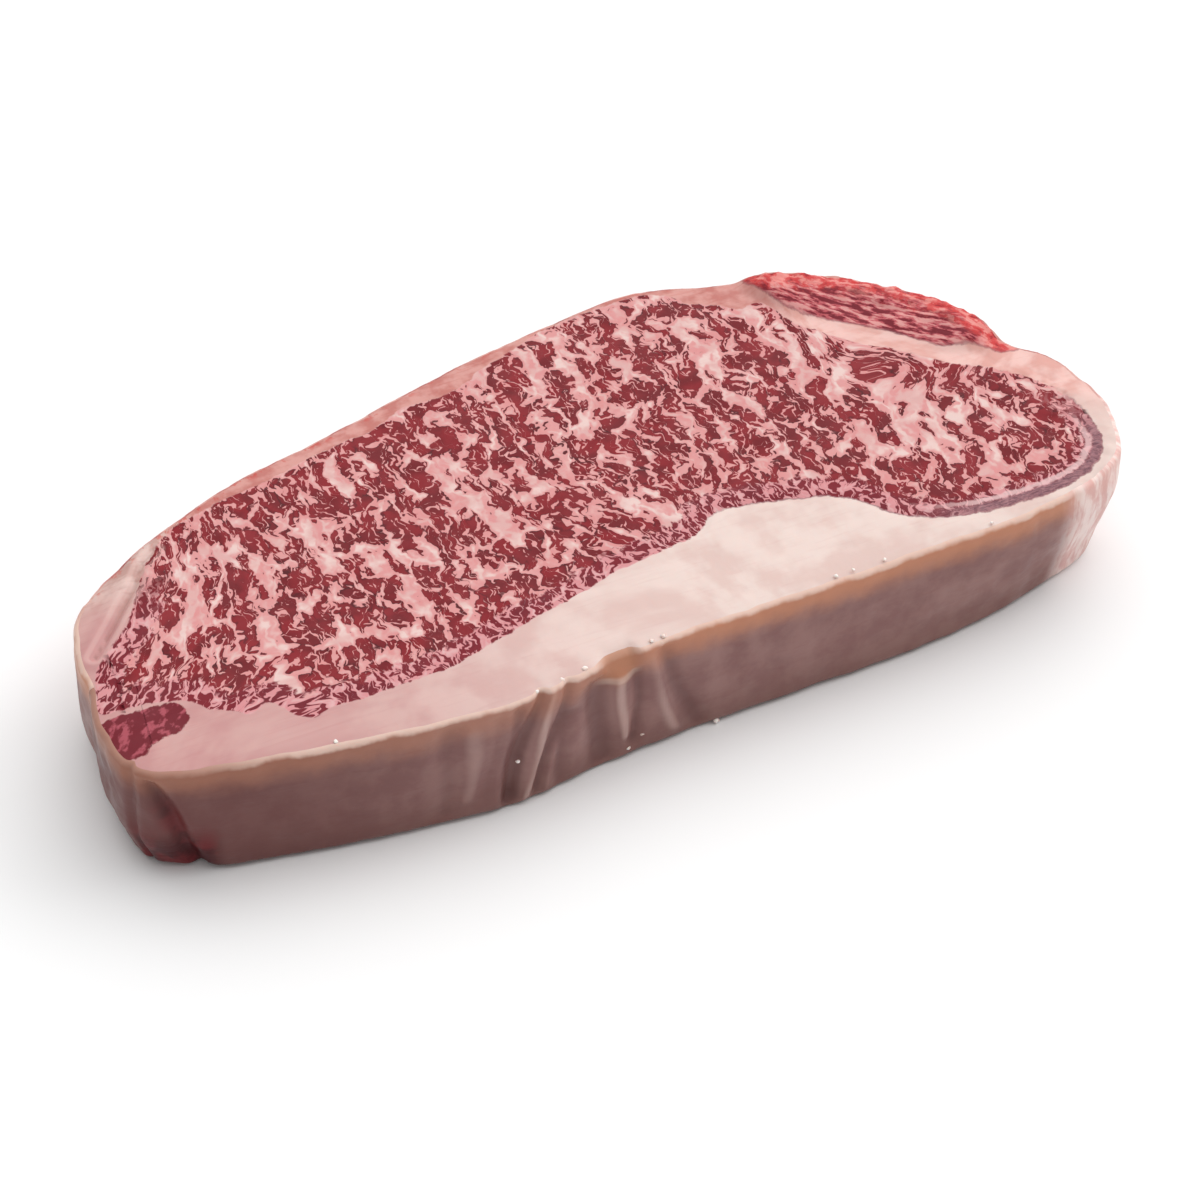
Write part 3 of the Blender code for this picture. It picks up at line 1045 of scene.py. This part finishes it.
    # The small muscle: pink with dark streaks along it, bright red at its outer rim.
    strip = bench.step(strip_in, -0.1, 0.4)
    along = bench.mark("strip_place", True)
    streaks = bench.vector("MULTIPLY", along, (0.17, 0.75, 1.0))
    streaks = bench.cloud(streaks, 1.0, 4.0, 0.6)
    strip_pink = bench.mix(bench.step(streaks, 0.38, 0.50), (222, 154, 150), (190, 84, 92))
    strip_colour = bench.mix(bench.step(streaks, 0.50, 0.56), strip_pink, (122, 28, 42))
    rim_red = bench.math("MULTIPLY_ADD", waver, 9.0, edge_in)
    rim_red = bench.step(rim_red, 9.0, 4.0)
    clots = bench.noise(bench.vector("MULTIPLY", along, (0.30, 0.42, 1.0)), 1.0, 3.0, 0.6)
    clots = clots.outputs["Fac"]
    raw = bench.mix(bench.step(clots, 0.38, 0.52), (230, 140, 132), (208, 60, 58))
    raw = bench.mix(bench.step(clots, 0.58, 0.68), raw, (160, 28, 36))
    strip_colour = bench.mix(bench.times(rim_red, 0.85), strip_colour, raw)
    strip_edge = bench.times(bench.step(strip_in, -0.3, 0.1), bench.step(strip_in, 0.9, 0.3))
    colour = bench.mix(strip, colour, strip_colour)
    colour = bench.mix(bench.times(strip_edge, 0.5), colour, (138, 84, 90))

    # Crease of the tail: painted shade, a brown line in the crease's groove, and painted light, a pale
    # band on the ridge beside it.
    painted_crease_shade = bench.step(crease, 0.75, 0.15)
    painted_ridge_light = bench.times(bench.step(crease, 1.0, 1.5), bench.step(crease, 2.8, 2.0))
    colour = bench.mix(bench.times(painted_ridge_light, 0.2), colour, (234, 204, 196))
    colour = bench.mix(bench.times(painted_crease_shade, 0.35), colour, (134, 88, 78))

    moist = bench.group(MOIST, Place=grain, Roughness=0.42, Spread=0.16, Fine=1.1)
    height = bench.math("MULTIPLY_ADD", lean, -0.35, moist.outputs["Height"])
    bench.give(shader.inputs["Base Color"], colour)
    bench.give(shader.inputs["Roughness"], moist.outputs["Roughness"])
    raise_surface(bench, shader, height, 0.25, 0.35)
    return finish


def side_skin_finish():
    """The side: brown-mauve outer skin of the fat, with meat at the tail's corner."""
    finish, bench, shader = new_finish("side_skin")
    set_flesh(shader)
    place = bench.mark("skin_place", True)
    height = bench.mark("height")
    back = bench.mark("back")
    corner = bench.mark("corner_meat")
    end = bench.mark("end")
    fold = bench.mark("fold")
    cloud = bench.cloud(place, 0.10, 4.0, 0.6)
    skin = bench.mix(bench.step(cloud, 0.30, 0.70), (156, 118, 113), (140, 101, 98))
    long = bench.vector("MULTIPLY", place, (0.10, 0.40, 1.0))
    streak = bench.cloud(long, 1.0, 3.0, 0.6)
    skin = bench.mix(bench.step(streak, 0.56, 0.76, 0.0, 0.35), skin, (138, 96, 93))
    # Painted shade: the side grows darker toward its foot, where it meets the floor.
    lower = bench.step(height, 15.0, 0.0, 0.0, 0.55)
    skin = bench.mix(lower, skin, (126, 88, 80))
    # Painted shade in the pressed-in folds of the skin, and painted light along the ridges between them.
    skin = bench.mix(bench.step(fold, 0.3, 1.5, 0.0, 0.55), skin, (112, 76, 74))
    skin = bench.mix(bench.step(fold, 0.0, -0.9, 0.0, 0.62), skin, (204, 172, 164))
    waver = bench.cloud(place, 0.14, 3.0, 0.6)
    waver = bench.math("SUBTRACT", waver, 0.5)
    top = bench.math("MULTIPLY_ADD", waver, 4.0, height)
    reach = bench.step(bench.mark("along"), 120.0, 165.0, 0.45, 0.92)
    # Painted shade: the side darker toward the tail, the end the lamps light least.
    painted_left_shade = bench.step(bench.mark("along"), 120.0, 45.0, 0.0, 0.75)
    skin = bench.mix(painted_left_shade, skin, (106, 62, 60))
    tan = bench.times(bench.step(top, 23.0, 30.5), reach)
    skin = bench.mix(tan, skin, (202, 138, 108))
    lip = bench.step(bench.math("MULTIPLY_ADD", waver, 1.6, height), 30.9, 31.9)
    lip = bench.times(lip, bench.step(bench.mark("along"), 35.0, 70.0, 0.15, 0.8))
    skin = bench.mix(lip, skin, (236, 206, 192))
    nick = bench.times(bench.mark("nick"), bench.step(height, 26.0, 27.6))
    skin = bench.mix(bench.times(nick, 0.75), skin, (190, 130, 100))
    nick_lip = bench.times(bench.step(height, 25.0, 26.0), bench.step(height, 27.4, 26.6))
    nick_lip = bench.times(nick_lip, bench.times(bench.mark("nick"), 0.35))
    skin = bench.mix(nick_lip, skin, (232, 206, 190))

    fibre_place = bench.vector("MULTIPLY", place, (0.34, 0.09, 1.0))
    fibre = bench.cloud(fibre_place, 1.0, 4.0, 0.6)
    end_colour = bench.mix(bench.step(fibre, 0.38, 0.64), (250, 228, 222), (228, 180, 174))
    skin = bench.mix(bench.times(end, 0.85), skin, end_colour)
    rear = bench.mix(bench.step(cloud, 0.36, 0.64), (212, 160, 150), (184, 112, 106))
    red = bench.noise(bench.vector("MULTIPLY", place, (0.16, 0.30, 1.0)), 1.0, 4.0, 0.6)
    rear = bench.mix(bench.step(red.outputs["Fac"], 0.52, 0.70, 0.0, 0.7), rear, (146, 52, 56))
    skin = bench.mix(back, skin, rear)
    meat = bench.mix(bench.step(cloud, 0.4, 0.6), (74, 20, 24), (112, 36, 40))
    skin = bench.mix(bench.math("MINIMUM", corner, 1.0), skin, meat)
    moist = bench.group(MOIST, Place=place, Roughness=0.40, Spread=0.2, Fine=0.8)
    bench.give(shader.inputs["Base Color"], skin)
    bench.give(shader.inputs["Roughness"], moist.outputs["Roughness"])
    relief = bench.math("MULTIPLY_ADD", streak, 0.6, moist.outputs["Height"])
    raise_surface(bench, shader, relief, 0.35, 0.45)
    return finish


def crumb_fat_and_painted_glint():
    """Small moist crumbs of pale fat, near white; on the cap's edge they also stand for glints, so their
    colour is partly a painted highlight.
    """
    finish, bench, shader = new_finish("crumb_fat_and_painted_glint")
    set_flesh(shader)
    place = bench.mark("crumb_place", True)
    cloud = bench.cloud(place, 0.9, 2.0, 0.5, False)
    # Near white: the pale fat of the crumbs and partly painted highlight, for the glints along the cap's
    # edge.
    colour = bench.mix(bench.step(cloud, 0.4, 0.6), (250, 240, 234), (240, 214, 204))
    moist = bench.group(MOIST, Place=place, Roughness=0.30, Spread=0.15, Fine=2.0)
    bench.give(shader.inputs["Base Color"], colour)
    bench.give(shader.inputs["Roughness"], moist.outputs["Roughness"])
    raise_surface(bench, shader, moist.outputs["Height"], 0.1, 0.3)
    return finish


# ---------------------------------------------------------------- the steak

side_piece, side_points, side_heights, side_along = build_side()
mark_side(side_piece, side_points, side_heights, side_along)
cut_piece, cut_points = build_cut_face()
mark_face(cut_piece, cut_points, False)
under_piece, under_points = build_under_face()
mark_face(under_piece, under_points, True)

# Crumbs of fat; those on the cap's edge stand for glints, their near-white colour partly a painted
# highlight.
crumbs = build_crumbs_and_glints()
put_vector(crumbs, "crumb_place", [tuple(vert.co * 1000.0) for vert in crumbs.data.vertices])
crumbs.data.materials.append(crumb_fat_and_painted_glint())

CUT_MEAT = cut_meat()
cut_piece.data.materials.append(CUT_MEAT)
under_piece.data.materials.append(CUT_MEAT)
side_piece.data.materials.append(side_skin_finish())

for piece in (cut_piece, side_piece, under_piece, crumbs):
    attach(piece, "root")
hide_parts("steak")

# ---------------------------------------------------------------- sweep, lamps and camera


def sweep():
    """The plain white surface the steak lies on."""
    data = bpy.data.meshes.new("sweep")
    half = 6.0
    z = -0.0002
    corners = [(-half, -half, z), (half, -half, z), (half, half, z), (-half, half, z)]
    data.from_pydata(corners, [], [(0, 1, 2, 3)])
    floor = bpy.data.objects.new("sweep", data)
    bpy.context.scene.collection.objects.link(floor)
    finish, bench, shader = new_finish("white_sweep")
    shader.inputs["Base Color"].default_value = (0.93, 0.93, 0.93, 1.0)
    shader.inputs["Roughness"].default_value = 0.9
    shader.inputs["Specular IOR Level"].default_value = 0.0
    data.materials.append(finish)


def lamp(name, azimuth, elevation, power, spread):
    """A far, soft, white lamp. Azimuth 0 is in front of the steak."""
    data = bpy.data.lights.new(name, "SUN")
    data.energy = power
    data.angle = math.radians(spread)
    data.color = (1.0, 1.0, 1.0)
    thing = bpy.data.objects.new(name, data)
    turn, lift = math.radians(azimuth), math.radians(elevation)
    toward = Vector((math.sin(turn) * math.cos(lift), -math.cos(turn) * math.cos(lift), math.sin(lift)))
    thing.rotation_euler = toward.to_track_quat("Z", "Y").to_euler()
    bpy.context.scene.collection.objects.link(thing)


def camera():
    """The view from the front left, half way up."""
    azimuth, elevation = math.radians(-24.0), math.radians(44.0)
    back = Vector(
        (
            math.sin(azimuth) * math.cos(elevation),
            -math.cos(azimuth) * math.cos(elevation),
            math.sin(elevation),
        )
    )
    aim = Vector((3.03, -5.57, 0.0)) * MM
    data = bpy.data.cameras.new("camera")
    data.sensor_width = 36.0
    data.lens = 109.4
    data.clip_start = 0.01
    data.clip_end = 50.0
    thing = bpy.data.objects.new("camera", data)
    thing.location = aim + back * 0.85
    thing.rotation_euler = back.to_track_quat("Z", "Y").to_euler()
    bpy.context.scene.collection.objects.link(thing)
    bpy.context.scene.camera = thing


sweep()
lamp("top_back", 130.0, 66.0, 2.3, 90.0)
lamp("right", 88.0, 38.0, 0.45, 35.0)
camera()

world = bpy.data.worlds.new("studio")
world.use_nodes = True
world.node_tree.nodes["Background"].inputs["Color"].default_value = (1.0, 1.0, 1.0, 1.0)
world.node_tree.nodes["Background"].inputs["Strength"].default_value = 0.40
bpy.context.scene.world = world
bpy.context.scene.view_settings.view_transform = "Standard"
